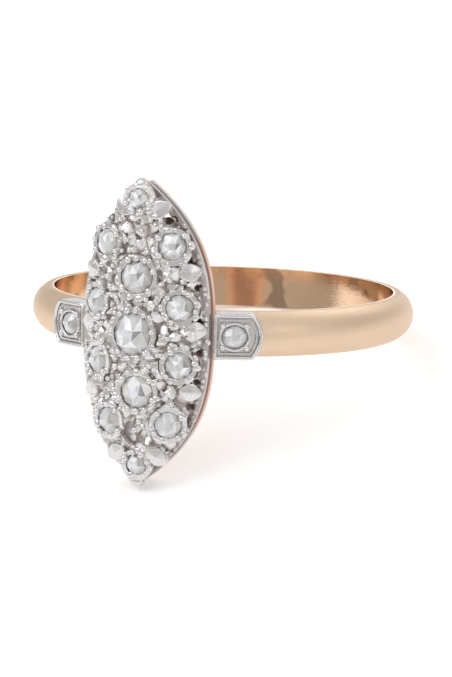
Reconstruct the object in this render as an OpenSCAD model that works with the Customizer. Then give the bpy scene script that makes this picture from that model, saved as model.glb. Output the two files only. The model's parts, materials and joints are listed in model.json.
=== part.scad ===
// Navette cluster ring: a half-round gold shank, a domed silver head set with thirteen rose-cut
// stones, and a silver plate with one more stone on each shoulder.
// The ring frame has its axis along +Z and the head towards -Y. The head frame has X across the
// head, Y along the finger and Z outwards, measured from the ring's axis.

/* [Shank] */
// Radius of the finger hole
finger_r = 8.6; // [7.6:0.1:10.2]
// Width of the shank along the finger
shank_w = 2.13; // [1.7:0.01:2.8]
// Thickness of the shank at its crown
shank_t = 1.04; // [0.85:0.01:1.3]
// Thickness of the shank at its two edges
shank_edge_t = 0.35; // [0.25:0.01:0.5]

/* [Head] */
// Length of the head along the finger
head_l = 14.1; // [12.6:0.1:16]
// Width of the head across the finger
head_w = 6.5; // [6:0.1:7.4]
// Height of the dome's crown over the finger hole
dome_rise = 2.2; // [2:0.02:2.4]
// Radius of the dome across the head
dome_cross_r = 4.3; // [4:0.1:5.5]
// Radius of the dome along the head
dome_long_r = 47.6; // [36:0.2:80]
// Thickness of the domed plate
dome_t = 0.45; // [0.35:0.01:0.6]

/* [Gallery] */
// Height of the gold rail's underside over the finger hole
rail_lift = 0.45; // [0.4:0.01:0.55]
// Height of the gold rail
gold_rail_h = 0.25; // [0.2:0.01:0.32]
// Height of the groove between the gold rail and the silver rail
groove_h = 0.1; // [0.06:0.01:0.14]
// Height of the silver rail
silver_rail_h = 0.25; // [0.2:0.01:0.32]
// Thickness of both rails in plan
rail_t = 0.45; // [0.35:0.01:0.55]
// Distance from the gold rail's edge in to the silver rail's edge
rail_inset = 0.08; // [0.05:0.01:0.12]
// Depth of the groove between the two rails
groove_depth = 0.12; // [0.08:0.01:0.2]
// Distance from the gold rail's edge in to the domed plate's edge
dome_inset = 0.45; // [0.35:0.01:0.5]
// Thickness of the wall between the silver rail and the domed plate
wall_t = 0.18; // [0.14:0.01:0.24]
// Diameter of the openings between the collets and the petals
opening_d = 0.38; // [0.34:0.01:0.42]
// Distance from the head's edge in to an opening's middle
opening_inset = 0.5; // [0.48:0.01:0.54]
// Diameter of the beads on the rail
rail_bead_d = 0.22; // [0.16:0.01:0.26]
// Distance between the two beads of a pair
bead_pitch = 0.27; // [0.22:0.01:0.32]
// Distance from the head's edge in to the beads
bead_inset = 0.25; // [0.2:0.01:0.3]

/* [Stones] */
// Width of the centre stone across the head
centre_w = 1.82; // [1.6:0.02:2]
// Length of the centre stone along the finger
centre_l = 2.04; // [1.8:0.02:2.2]
// Diameter of the two stones above and below the centre
middle_d = 1.56; // [1.3:0.02:1.7]
// Diameter of the four pairs of stones at the sides
side_d = 1.28; // [1.1:0.02:1.36]
// Diameter of the two stones at the tips
tip_d = 1; // [0.8:0.02:1.1]
// Width of a shoulder stone along the finger
shoulder_w = 1.08; // [0.9:0.02:1.16]
// Length of a shoulder stone round the shank
shoulder_l = 1.2; // [1:0.02:1.26]
// Height of a stone's crown as a share of its width
crown_share = 0.27; // [0.2:0.01:0.34]
// Height of a stone's girdle
girdle_h = 0.1; // [0.06:0.01:0.14]

/* [Setting] */
// Height of a collet over the domed plate
collet_rise = 0.24; // [0.2:0.01:0.3]
// Depth of a stone's seat under its collet's rim
seat_depth = 0.18; // [0.14:0.01:0.22]
// Thickness of a collet's wall
collet_t = 0.25; // [0.2:0.01:0.3]
// Diameter of the grains that hold the stones
grain_d = 0.21; // [0.16:0.01:0.26]
// Diameter of the beads on the plate between the stones
bead_d = 0.32; // [0.24:0.01:0.36]
// Diameter of the bead at each tip of the head
tip_bead_d = 0.54; // [0.44:0.01:0.64]
// Length of a petal outwards
petal_l = 1.1; // [0.9:0.02:1.3]
// Width of a petal
petal_w = 0.86; // [0.7:0.02:1]
// Height of a petal over the metal's surface
petal_rise = 0.26; // [0.16:0.01:0.32]
// Distance from the head's edge in to a petal's middle
petal_inset = 0.68; // [0.6:0.01:0.8]
// Distance from the head's edge in to a petal's tip
petal_margin = 0.14; // [0.1:0.01:0.2]
// Gap between pieces that are set in or on each other
seat_gap = 0.03; // [0.02:0.01:0.05]

/* [Shoulders] */
// Length of a shoulder plate round the shank
plate_l = 2.3; // [2.1:0.05:2.8]
// Thickness of a shoulder plate over the shank's crown
plate_t = 0.31; // [0.27:0.01:0.4]
// Radius of a shoulder plate's outer end
plate_end_r = 1.45; // [1.4:0.05:2]
// Width of a shoulder plate's border
border_t = 0.15; // [0.12:0.01:0.17]
// Width of the sunk groove inside the border
border_groove = 0.08; // [0.06:0.01:0.1]
// Width of the raised frame inside the groove
frame_t = 0.07; // [0.05:0.01:0.09]
// Depth of the sunk field inside the border
field_depth = 0.08; // [0.05:0.01:0.1]
// Thickness of a shoulder collet's wall
shoulder_collet_t = 0.12; // [0.09:0.01:0.14]

/* [Hidden] */
$fn = 96;

half_l = head_l / 2;
half_w = head_w / 2;
crown_r = finger_r + shank_t;
edge_r = finger_r + shank_edge_t;
half_shank = shank_w / 2;
// The shank's outside is an arc through its crown and its two edges.
arc_rise = crown_r - edge_r;
arc_r = (half_shank * half_shank + arc_rise * arc_rise) / (2 * arc_rise);
arc_c = crown_r - arc_r;

gold_rail_z = finger_r + rail_lift;
silver_rail_z = gold_rail_z + gold_rail_h + groove_h;
silver_rail_top = silver_rail_z + silver_rail_h;
// The silver head's skirt stands just clear of the gold rail.
skirt_z = gold_rail_z + gold_rail_h + seat_gap;
// The bed under the head reaches this far into the gold rail, so that they are one piece.
bed_lap = 0.4 * gold_rail_h;
bed_z = gold_rail_z + bed_lap;
dome_z = finger_r + dome_rise;
// Cuts run at least this far past the metal.
above = shank_w + dome_rise;

// The head's outline bulges as 1 - t^p, which gives blunt tips.
outline_power = 2.9;
outline_steps = 24;
// Where the outline is set in, its tips come in by this much more than its sides.
tip_factor = 1.25;

// The tip beads stand at this place along the head, on the dome.
tip_bead_y = half_l - tip_bead_d / 4;
tip_bead_z = dome_z - tip_bead_y * tip_bead_y / (2 * dome_long_r);

plate_r = crown_r + plate_t;
plate_x = half_w + seat_gap;
plate_start = asin(plate_x / plate_r);
plate_span = plate_l / plate_r * 180 / PI;
// The shoulder stone sits at this share of the plate's length.
shoulder_share = 0.43;
shoulder_angle = plate_start + shoulder_share * plate_span;

// The ring lies on its side: the head's lower tip and the shank's far edge touch the ground.
rest_tilt = atan((half_l - half_shank) / (gold_rail_z + edge_r));
ground = gold_rail_z * sin(rest_tilt) - half_l * cos(rest_tilt);
// How far the ring lying down reaches in front of and behind its own centre.
reach_front = tip_bead_z * cos(rest_tilt) + tip_bead_y * sin(rest_tilt) + tip_bead_d / 2;
reach_back = arc_c * cos(rest_tilt) + arc_r;

// Name, place across and along the head as shares of its half width and half length,
// width, length, turn of the facets, and the angles of the grains round the stone.
HEAD_STONES = [
    ["stone_centre", -0.02, 0.01, centre_w, centre_l, 0, [8, 54, 79, 103, 126, 172, 230, 262, 288, 312]],
    ["stone_upper", 0.02, 0.38, middle_d, middle_d, 14, [20, 62, 90, 118, 160, 222, 318]],
    ["stone_lower", 0.05, -0.37, middle_d, middle_d, 40, [42, 138, 200, 242, 270, 298, 340]],
    ["stone_tip_upper", -0.02, 0.88, tip_d, tip_d, 25, [200, 250, 290, 340]],
    ["stone_tip_lower", 0.02, -0.86, tip_d, tip_d, 50, [20, 60, 100, 150]],
    ["stone_right_1", 0.48, 0.585, side_d, side_d, 5, [330, 45, 150, 215]],
    ["stone_right_2", 0.6, 0.19, side_d, side_d, 33, [350, 60, 140, 240]],
    ["stone_right_3", 0.6, -0.185, side_d, side_d, 48, [10, 120, 220, 300]],
    ["stone_right_4", 0.47, -0.58, side_d, side_d, 20, [30, 130, 210, 310]],
    ["stone_left_1", -0.48, 0.59, side_d, side_d, 52, [30, 135, 210, 330]],
    ["stone_left_2", -0.64, 0.195, side_d, side_d, 12, [40, 120, 190, 300]],
    ["stone_left_3", -0.6, -0.19, side_d, side_d, 28, [60, 170, 240, 320]],
    ["stone_left_4", -0.4, -0.585, side_d, side_d, 44, [50, 150, 230, 330]],
];

// Side, place along the head as a share of its half length, and the petal's turn.
PETALS = [
    [1, 0.81, 32], [1, 0.42, 14], [1, 0.045, 0], [1, -0.36, -12], [1, -0.79, -30],
    [-1, 0.83, 32], [-1, 0.41, 14], [-1, 0.05, 0], [-1, -0.4, -14], [-1, -0.79, -30],
];
// Places of the openings and of the bead pairs along the head as shares of its half length.
OPENINGS = [0.75, 0.49, 0.32, 0.1, -0.1, -0.29, -0.46];
RAIL_BEADS = [0.69, 0.5, 0.295, 0.1, -0.12, -0.31, -0.52, -0.69];
// Beads between the stones, on both sides of each axis: places as shares of the half width and
// the half length.
DOME_BEADS = [[0.14, 0.206], [0.13, 0.562], [0.45, 0.02], [0.37, 0.29], [0.345, 0.45], [0.19, 0.72]];

// Half width of the head's outline at a share t of its half length, stepped in by inset.
function half_width(t, inset = 0) = (half_w - inset) * (1 - pow(abs(t), outline_power));

// The head's outline, stepped in by inset.
function outline(inset = 0) =
    let (l = half_l - tip_factor * inset)
    concat(
        [for (i = [-outline_steps : outline_steps])
            let (t = i / outline_steps) [half_width(t, inset), t * l]],
        [for (i = [outline_steps - 1 : -1 : -outline_steps + 1])
            let (t = i / outline_steps) [-half_width(t, inset), t * l]]
    );

// An oval of the given width and length.
function oval(w, l, steps = 48) =
    [for (i = [0 : steps - 1]) let (a = 360 * i / steps) [w / 2 * cos(a), l / 2 * sin(a)]];

// Puts its children, drawn in the ring frame, where the ring lies on the ground.
module lay_down() {
    translate([0, (reach_front - reach_back) / 2, -ground]) rotate([-rest_tilt, 0, 0]) children();
}

// Puts its children, drawn in the head frame, on the ring.
module on_head() {
    lay_down() rotate([90, 0, 0]) children();
}

// Puts its children at a place on the dome, with Z along the dome's normal.
module on_dome(x, y) {
    lean = asin(x / dome_cross_r);
    hub_r = dome_long_r - dome_cross_r;
    pitch = asin(y / (hub_r + dome_cross_r * cos(lean)));
    translate([0, 0, dome_z - dome_long_r]) rotate([-pitch, 0, 0])
        translate([0, 0, hub_r]) rotate([0, lean, 0]) translate([0, 0, dome_cross_r]) children();
}

// Puts its children on a shoulder plate, with Z outwards and X round the shank.
module on_shoulder(angle) {
    rotate([0, 0, angle]) translate([0, -plate_r, 0]) rotate([90, 0, 0]) children();
}

// A post with an oval section, a true cylinder where it is round.
module post(w, l, h) {
    if (w == l) {
        cylinder(h = h, d = w);
    } else {
        linear_extrude(h) polygon(oval(w, l));
    }
}

// A rose-cut stone with a small table: six kites round the table, then eighteen triangles. The
// ring of corners between them has its width and height as shares of the stone's.
module rose_cut(w, l, turn) {
    crown_h = crown_share * min(w, l);
    table = 0.3;
    table_z = girdle_h + crown_h;
    corner_share = 0.68;
    corner_z = girdle_h + 0.62 * crown_h;
    function ring(n, share, z, offset) = [for (i = [0 : n - 1])
        let (a = 360 * (i + offset) / n + turn)
        [w / 2 * share * cos(a), l / 2 * share * sin(a), z]];
    points = concat(
        ring(12, 1, 0, 0),
        ring(12, 1, girdle_h, 0),
        ring(6, corner_share, corner_z, 0),
        ring(6, table, table_z, 0.5)
    );
    faces = concat(
        [[for (i = [0 : 11]) i]],
        [for (i = [0 : 11]) let (j = (i + 1) % 12) [i, 12 + i, 12 + j, j]],
        [for (i = [0 : 5]) [24 + i, 12 + 2 * i, 12 + (2 * i + 11) % 12]],
        [for (i = [0 : 5]) [24 + i, 12 + 2 * i + 1, 12 + 2 * i]],
        [for (i = [0 : 5]) [24 + i, 24 + (i + 1) % 6, 12 + 2 * i + 1]],
        [for (i = [0 : 5]) [24 + i, 30 + i, 24 + (i + 1) % 6]],
        [for (i = [0 : 5]) [24 + i, 30 + (i + 5) % 6, 30 + i]],
        [[35, 34, 33, 32, 31, 30]]
    );
    polyhedron(points, faces);
}

// The half-round section of the shank, grown outwards by g.
module shank_section(g = 0) {
    intersection() {
        translate([arc_c, 0]) circle(arc_r + g);
        translate([finger_r, -half_shank]) square([shank_t + g, shank_w]);
    }
}

// A prism of the head's outline between two heights, stepped in by inset.
module head_prism(z0, z1, inset = 0) {
    translate([0, 0, z0]) linear_extrude(z1 - z0) polygon(outline(inset));
}

// A rail of the head's outline between two heights.
module rail(z0, z1, inset = 0) {
    translate([0, 0, z0]) linear_extrude(z1 - z0) difference() {
        polygon(outline(inset));
        polygon(outline(inset + rail_t));
    }
}

module shank() {
    color("#d9b48c") lay_down() difference() {
        union() {
            difference() {
                rotate_extrude() shank_section();
                rotate([90, 0, 0]) head_prism(bed_z, crown_r + above, rail_t / 2);
            }
            rotate([90, 0, 0]) {
                rail(gold_rail_z, gold_rail_z + gold_rail_h);
                intersection() {
                    head_prism(0, bed_z, rail_t / 2);
                    translate([-half_w, -half_shank, 0]) cube([head_w, shank_w, bed_z]);
                }
            }
        }
        cylinder(h = 2 * head_l, r = finger_r, center = true);
    }
}

// The dome is a slice of a ring-shaped body with the two radii of the dome, and inner is how far
// under its surface it is hollow.
module dome(inner) {
    sweep = 2 * asin(half_l / (dome_long_r - dome_cross_r)) + 2;
    hub_r = dome_long_r - dome_cross_r;
    translate([0, 0, dome_z - dome_long_r]) rotate([0, -90, 0]) rotate([0, 0, -sweep / 2])
        rotate_extrude(angle = sweep, start = 0, $fn = 256) intersection() {
            difference() {
                translate([hub_r, 0]) circle(dome_cross_r);
                translate([hub_r - inner, 0]) circle(dome_cross_r);
            }
            translate([hub_r, -half_w]) square([dome_cross_r, head_w]);
        }
}

// The wall that carries the dome's edge on the silver rail.
module dome_wall() {
    intersection() {
        translate([0, 0, silver_rail_z]) linear_extrude(dome_rise) difference() {
            polygon(outline(dome_inset));
            polygon(outline(dome_inset + wall_t));
        }
        dome(dome_rise);
    }
}

// Puts its children at each stone of the head.
module at_head_stone(s) {
    on_dome(s[1] * half_w, s[2] * half_l) children();
}

// The wall round a stone, and the grains on its rim that hold the stone.
module collet(w, l, grain_angles) {
    grain_step = collet_t / 2;
    translate([0, 0, -dome_t / 4]) post(w + 2 * collet_t, l + 2 * collet_t, dome_t / 4 + collet_rise);
    for (a = grain_angles) {
        translate([(w / 2 + grain_step) * cos(a), (l / 2 + grain_step) * sin(a), collet_rise])
            sphere(d = grain_d, $fn = 24);
    }
}

// The space that a stone drops into.
module seat(w, l) {
    translate([0, 0, collet_rise - seat_depth]) post(w + 2 * seat_gap, l + 2 * seat_gap, above);
}

module petal(p) {
    on_dome(p[0] * (half_width(p[1]) - petal_inset), p[1] * half_l)
        translate([0, 0, -dome_t / 2]) rotate([0, 0, p[0] * p[2] + (p[0] < 0 ? 180 : 0)])
        linear_extrude(dome_t / 2 + petal_rise)
        polygon([[-petal_l / 2, 0], [0, -petal_w / 2], [petal_l / 2, 0], [0, petal_w / 2]]);
}

module setting() {
    color("#b9bcc0") on_head() difference() {
        union() {
            intersection() {
                head_prism(silver_rail_z, dome_z + above, dome_inset);
                dome(dome_t);
            }
            dome_wall();
            rail(silver_rail_z, silver_rail_top, rail_inset);
            rail(skirt_z, silver_rail_top - silver_rail_h / 2, rail_inset + groove_depth);
            intersection() {
                for (s = HEAD_STONES) at_head_stone(s) collet(s[3], s[4], s[6]);
                translate([-head_w, -head_l, skirt_z]) cube([2 * head_w, 2 * head_l, dome_rise + above]);
            }
            for (b = DOME_BEADS, i = [-1, 1], j = [-1, 1]) {
                on_dome(i * b[0] * half_w, j * b[1] * half_l) sphere(d = bead_d, $fn = 24);
            }
            intersection() {
                head_prism(silver_rail_z, dome_z + above, petal_margin);
                for (p = PETALS) petal(p);
            }
            for (side = [-1, 1], t = RAIL_BEADS, k = [-0.5, 0.5]) {
                share = t + k * bead_pitch / half_l;
                translate([side * (half_width(share) - bead_inset), share * half_l, silver_rail_top])
                    sphere(d = rail_bead_d, $fn = 24);
            }
            // The tip beads' poles point along the head, clear of where the collets cut them.
            for (end = [-1, 1]) {
                translate([0, end * tip_bead_y, tip_bead_z]) rotate([-90 * end, 0, 0])
                    sphere(d = tip_bead_d, $fn = 24);
            }
        }
        for (s = HEAD_STONES) at_head_stone(s) seat(s[3], s[4]);
        for (side = [-1, 1], t = OPENINGS) {
            translate([side * (half_width(t) - opening_inset), t * half_l, finger_r])
                cylinder(h = dome_rise + above, d = opening_d, $fn = 24);
        }
    }
}

// A shoulder plate's outline in plan, stepped in by inset: straight sides and a round outer end.
module tongue(inset) {
    x_end = plate_r * sin((1 - shoulder_share) * plate_span);
    intersection() {
        translate([-plate_l, inset - half_shank]) square([2 * plate_l, shank_w - 2 * inset]);
        translate([x_end - plate_end_r, 0]) circle(plate_end_r - inset);
    }
}

// A curved slab of a shoulder plate between two radii, inside the outline stepped in by inset.
module slab(r0, r1, inset = 0) {
    // The slab is turned this many degrees past both ends of the plate before it is cut.
    margin = 20;
    intersection() {
        rotate([0, 0, plate_start - margin - 90])
            rotate_extrude(angle = plate_span + 2 * margin, start = 0, $fn = 256)
            translate([r0, -half_shank]) square([r1 - r0, shank_w]);
        on_shoulder(shoulder_angle) translate([0, 0, -crown_r / 2]) linear_extrude(crown_r) tongue(inset);
        translate([plate_x + inset, -crown_r - above, -shank_w]) cube([crown_r, crown_r, 2 * shank_w]);
    }
}

// The right plate: a border, a groove, a raised frame, and a stone's collet with four grains.
module right_plate() {
    field_r = plate_r - field_depth;
    frame_inset = border_t + border_groove;
    collet_h = 1.7 * field_depth;
    // The grains stand over the collet by this much, at this share of the stone's length and width.
    grain_h = 0.5 * field_depth;
    grain_share = 0.46;
    difference() {
        union() {
            difference() {
                slab(finger_r, plate_r);
                slab(field_r, plate_r + above, border_t);
                rotate_extrude() shank_section(seat_gap);
            }
            difference() {
                slab(field_r - field_depth / 2, plate_r - field_depth / 4, frame_inset);
                slab(finger_r, plate_r + above, frame_inset + frame_t);
            }
            on_shoulder(shoulder_angle) translate([0, 0, -1.5 * field_depth]) {
                post(shoulder_l + 2 * shoulder_collet_t, shoulder_w + 2 * shoulder_collet_t, collet_h);
                for (x = [-1, 1], y = [-1, 1]) {
                    translate([x * shoulder_l * grain_share, y * shoulder_w * grain_share, 0])
                        cylinder(h = collet_h + grain_h, d = grain_d, $fn = 24);
                }
            }
        }
        on_shoulder(shoulder_angle) shoulder_seat();
    }
}

// The space that a shoulder stone drops into.
module shoulder_seat() {
    translate([0, 0, -plate_t / 2]) post(shoulder_l + 2 * seat_gap, shoulder_w + 2 * seat_gap, above);
}

// Puts its children, drawn for the right shoulder, on the given side.
module on_side(side) {
    lay_down() {
        if (side > 0) {
            children();
        } else {
            mirror([1, 0, 0]) children();
        }
    }
}

module shoulder_plate(side) {
    color("#b3b6ba") on_side(side) right_plate();
}

module head_stone(s) {
    color("#e9ecf1") on_head() at_head_stone(s)
        translate([0, 0, collet_rise - seat_depth + seat_gap]) rose_cut(s[3], s[4], s[5]);
}

module shoulder_stone(side) {
    color("#e9ecf1") on_side(side) on_shoulder(shoulder_angle)
        translate([0, 0, seat_gap - plate_t / 2]) rose_cut(shoulder_l, shoulder_w, 15);
}

shank();
setting();
shoulder_plate(1);  // shoulder_plate_right
shoulder_plate(-1);  // shoulder_plate_left
for (s = HEAD_STONES) {
    head_stone(s);
}
shoulder_stone(1);  // stone_shoulder_right
shoulder_stone(-1);  // stone_shoulder_left
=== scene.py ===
import json
import math
import random

import bmesh
import bpy
from mathutils import Matrix, Vector, noise


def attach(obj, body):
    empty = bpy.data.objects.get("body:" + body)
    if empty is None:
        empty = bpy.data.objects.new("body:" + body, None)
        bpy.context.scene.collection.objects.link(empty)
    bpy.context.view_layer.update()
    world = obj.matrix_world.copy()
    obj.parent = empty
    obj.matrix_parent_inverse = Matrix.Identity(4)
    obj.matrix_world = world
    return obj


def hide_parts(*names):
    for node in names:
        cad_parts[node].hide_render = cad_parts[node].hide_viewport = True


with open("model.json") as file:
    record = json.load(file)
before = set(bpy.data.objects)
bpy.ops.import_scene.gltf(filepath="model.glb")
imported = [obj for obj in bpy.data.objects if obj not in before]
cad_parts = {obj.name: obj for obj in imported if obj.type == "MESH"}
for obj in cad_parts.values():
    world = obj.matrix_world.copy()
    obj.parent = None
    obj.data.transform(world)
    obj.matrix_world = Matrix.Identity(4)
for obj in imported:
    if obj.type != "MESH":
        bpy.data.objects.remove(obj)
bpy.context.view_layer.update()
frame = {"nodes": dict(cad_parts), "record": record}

# Lengths are in millimetres and angles in degrees, unless a comment says otherwise. A place on the
# head is given as shares of its half width and half length.
MM = 0.001

# The ring's own sizes, as the solids have them. Heights on the head are from the ring's axis.
FINGER_R = 8.6
HALF_LENGTH = 7.05
HALF_WIDTH = 3.25
OUTLINE_POWER = 2.9
DOME_TOP = 10.8
DOME_CROSS_R = 4.3
DOME_LONG_R = 47.6
DOME_HUB_R = DOME_LONG_R - DOME_CROSS_R
RAIL_FOOT = 9.05
RAIL_TOP = 9.65
COLLET_WALL = 0.25
COLLET_RISE = 0.24
SEAT_FLOOR = 0.09

# Name, place across and along the head, width, length, turn, and the angles of the grains round the
# stone.
HEAD_STONES = [
    ("stone_centre", -0.02, 0.01, 1.82, 2.04, 0, (8, 54, 79, 103, 126, 172, 230, 262, 288, 312)),
    ("stone_upper", 0.02, 0.38, 1.56, 1.56, 14, (20, 62, 90, 118, 160, 222, 318)),
    ("stone_lower", 0.05, -0.37, 1.56, 1.56, 40, (42, 138, 200, 242, 270, 298, 340)),
    ("stone_tip_upper", -0.02, 0.88, 1.0, 1.0, 25, (200, 250, 290, 340)),
    ("stone_tip_lower", 0.02, -0.86, 1.0, 1.0, 50, (20, 60, 100, 150)),
    ("stone_right_1", 0.48, 0.585, 1.28, 1.28, 5, (330, 45, 150, 215)),
    ("stone_right_2", 0.6, 0.19, 1.28, 1.28, 33, (350, 60, 140, 240)),
    ("stone_right_3", 0.6, -0.185, 1.28, 1.28, 48, (10, 120, 220, 300)),
    ("stone_right_4", 0.47, -0.58, 1.28, 1.28, 20, (30, 130, 210, 310)),
    ("stone_left_1", -0.48, 0.59, 1.28, 1.28, 52, (30, 135, 210, 330)),
    ("stone_left_2", -0.64, 0.195, 1.28, 1.28, 12, (40, 120, 190, 300)),
    ("stone_left_3", -0.6, -0.19, 1.28, 1.28, 28, (60, 170, 240, 320)),
    ("stone_left_4", -0.4, -0.585, 1.28, 1.28, 44, (50, 150, 230, 330)),
]

# The loops of a stone's corners from its foot up: how many, their radius as a share, their height
# in girdles and in crowns, and their turn. The crown's rise is a share of the stone's width or
# length, whichever is less.
STONE_LOOPS = (
    (12, 1, 0, 0, 0),
    (12, 1, 1, 0, 0),
    (5, 0.7, 1, 0.6, 0),
    (4, 0.32, 1, 1, 36),
)
GIRDLE = 0.1
CROWN_SHARE = 0.27
FACET_BEVEL = 0.008
# Facets that lie within this angle of each other are one.
SAME_FACET = 1

# The painted light of a stone's facets, its painted reflections and shade, from 0 dark to 1 bright:
# the range in the upper half of its crown, painted brighter, and the range below. Of the facets
# whose height lies between two shares of the crown, the one that faces nearest to a given way
# gets a painted dark reflection.
UPPER_PAINTED_LIGHT = (0.5, 1.0)
LOWER_PAINTED_LIGHT = (0.3, 0.6)
PAINTED_DARK_FACET = 0.15
PAINTED_DARK_WAY = 20
DARK_LOWEST = 0.6
DARK_HIGHEST = 0.95

# Stones whose facets are worn and cloudy, with the share of their painted light's contrast that is
# left, and the tone that their facets draw near to.
CLOUDY = {
    "stone_right_4": 0.45,
    "stone_left_4": 0.4,
    "stone_tip_lower": 0.5,
    "stone_left_2": 0.5,
    "stone_left_3": 0.55,
    "stone_right_2": 0.7,
    "stone_shoulder_right": 0.4,
    "stone_shoulder_left": 0.5,
}
CLOUDY_TONE = 0.62

# The rim of a collet: its wire, how far it reaches over the stone, how deep it sinks into the
# collet, its height as a share of its width, how far it is uneven, and how finely in lumps to a
# millimetre, with the width of stone that adds one lump.
RIM_WIRE = 0.11
RIM_OVER = 0.02
RIM_SINK = 0.04
RIM_HEIGHT = 0.75
RIM_UNEVEN = 0.06
RIM_FINENESS = 2.6
RIM_WIDTH_PER_LUMP = 10

# The uneven lumps of metal round a stone: their pitch, how far they stray as a share of it, how
# deep they sink, and the ranges of their stretch outwards and sideways, of their place on the
# collet's wall as a share of it, of their height as a share of their diameter, and of their
# diameter.
LUMP_PITCH = 0.4
LUMP_STRAY = 0.45
LUMP_SINK = 0.03
LUMP_OUTWARDS = (0.8, 1.5)
LUMP_SIDEWAYS = (0.9, 2.0)
LUMP_REACH = (0.45, 0.95)
LUMP_TALL = (0.35, 1.0)
LUMP_D = (0.16, 0.32)

# The grains over a stone's edge: their place on the collet's wall as a share of it, their lift over
# the collet, their stretch outwards, and the range of their diameter.
GRAIN_REACH = 0.42
GRAIN_LIFT = 0.06
GRAIN_STRETCH = 1.15
GRAIN_D = (0.24, 0.34)

# Petals: side, place along the head, turn, and length as a share of PETAL_LENGTH.
PETALS = [
    (1, 0.81, 32, 1.15), (1, 0.42, 14, 1), (1, 0.045, 0, 1), (1, -0.36, -12, 1),
    (1, -0.79, -30, 1.15),
    (-1, 0.83, 32, 1), (-1, 0.41, 14, 1), (-1, 0.05, 0, 1), (-1, -0.4, -14, 1), (-1, -0.79, -30, 1),
]
PETAL_LENGTH = 1.36
PETAL_WIDTH = 1.08
PETAL_INSET = 0.68

# Bright cut leaves between the stones: place across and along the head, length, width and turn.
LEAVES = [
    (0.30, 0.225, 0.55, 0.4, 30), (0.43, 0.40, 0.8, 0.5, 60), (0.2, 0.60, 0.6, 0.4, 75),
    (0.55, 0.01, 0.75, 0.42, 8), (-0.30, 0.23, 0.5, 0.36, 150), (-0.42, 0.395, 0.7, 0.46, 110),
    (-0.2, 0.62, 0.55, 0.4, 100), (-0.55, 0.01, 0.6, 0.4, 170), (0.30, -0.225, 0.5, 0.4, 140),
    (0.42, -0.39, 0.75, 0.46, 120), (0.2, -0.63, 0.6, 0.36, 110), (-0.31, -0.22, 0.5, 0.4, 40),
    (-0.43, -0.41, 0.7, 0.44, 70), (-0.2, -0.62, 0.5, 0.4, 60), (0.02, 0.70, 0.45, 0.3, 0),
]

# The heights of a petal's and a leaf's foot, wall and peak over the dome, and the bevels of their
# top edge and of their corners. A longer petal's corners are longer too.
PETAL_FOOT = -0.3
PETAL_WALL = 0.27
PETAL_PEAK = 0.31
PETAL_EDGE = 0.06
PETAL_CORNER = 0.3
LEAF_FOOT = -0.1
LEAF_WALL = 0.2
LEAF_PEAK = 0.3
LEAF_EDGE = 0.03
LEAF_CORNER = 0.08

# Places of the openings along the head, how far in from its edge they lie, their diameter, and the
# margin that is kept round them.
OPENINGS = (0.75, 0.49, 0.32, 0.1, -0.1, -0.29, -0.46)
OPENING_INSET = 0.5
OPENING_D = 0.38
OPENING_MARGIN = 0.03

# The bright-cut metal between the stones: size of its cuts, step of its mesh, the height of its
# foot, which is rooted in the dome, its lowest height, its rise and its tilts, how far it reaches
# inside what it keeps clear of, and its distance in from the head's edge.
CUT_SIZE = 0.5
CUT_STEP = 0.07
CUT_FOOT = -0.08
CUT_LOW = 0.02
CUT_RISE = 0.17
CUT_TILT = 0.6
CUT_OVERLAP = 0.08
CUT_INSET = 0.42
# The share of its rise that is left in its grooves, how steep they are, and how the tilt of one cut
# is told from the next.
GROOVE_LEFT = 0.3
GROOVE_SLOPE = 4
TILT_PATTERN = 9
# Past this share of the half length it reaches out over the rail, and down to it outside the dome.
TIP_START = 0.55
CUT_TIP_INSET = 0.18
DOME_INSET = 0.45
# Its edge is smoothed this many times, by this much.
EDGE_ROUNDS = 4
EDGE_SMOOTH = 0.5

# The small grains raised from that metal: the pitch of the loose grid that they stand on, its rows'
# distance and how far they stray as shares of the pitch, their distance in from the head's edge,
# the share of places that has one, their height as a share of their diameter, and the range of
# their diameter.
SMALL_PITCH = 0.5
SMALL_ROWS = 0.87
SMALL_STRAY = 0.2
SMALL_INSET = 0.6
SMALL_SHARE = 0.55
SMALL_TALL = 1.1
SMALL_D = (0.24, 0.34)
# One more at the edge of the uppermost opening on the left.
UPPER_LEFT_GRAIN = (-0.47, 0.75)
UPPER_LEFT_D = 0.36
UPPER_LEFT_TALL = 0.9

# The pairs of beads along the rail.
RAIL_BEAD_SHARES = (0.69, 0.5, 0.295, 0.1, -0.12, -0.31, -0.52, -0.69)
RAIL_BEAD_PITCH = 0.27
RAIL_BEAD_INSET = 0.25
RAIL_BEAD_D = 0.29
# The uneven lumps along the rail: how many to a side, the share of the half length that they reach,
# how far they stray as a share of their pitch, and their ranges.
RAIL_LUMPS = 34
RAIL_LUMP_END = 0.85
RAIL_LUMP_STRAY = 0.4
RAIL_LUMP_INSET = (0.14, 0.5)
RAIL_LUMP_STRETCH = (1, 1.7)
RAIL_LUMP_D = (0.16, 0.3)
RAIL_LUMP_TALL = (0.7, 1.4)

# The bead at each tip, its stretch across, and the bead on either side of it: how far across, how
# far in from the first, and how large.
TIP_BEAD_D = 0.54
TIP_BEAD_STRETCH = 1.35
TIP_SIDE_ACROSS = 0.3
TIP_SIDE_IN = 0.28
TIP_SIDE_D = 0.46

# Corners of the gallery ledge's section, as distance in from the head's edge and height, and its
# steps round each side of the head.
LEDGE_SECTION = ((0.2, 9.08), (1.2, 9.08), (1.2, 9.2), (0.2, 9.2))
LEDGE_STEPS = 48

# The shoulder plates: radius of their top from the ring's axis, and the stone's place round the
# ring, its size round the ring, its size along the finger, its turn and how deep it sits.
PLATE_R = 9.95
PLATE_ANGLE = 24.94
SHOULDER_STONE_L = 1.2
SHOULDER_STONE_W = 1.08
SHOULDER_STONE_TURN = 15
SHOULDER_STONE_SINK = 0.125
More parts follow.
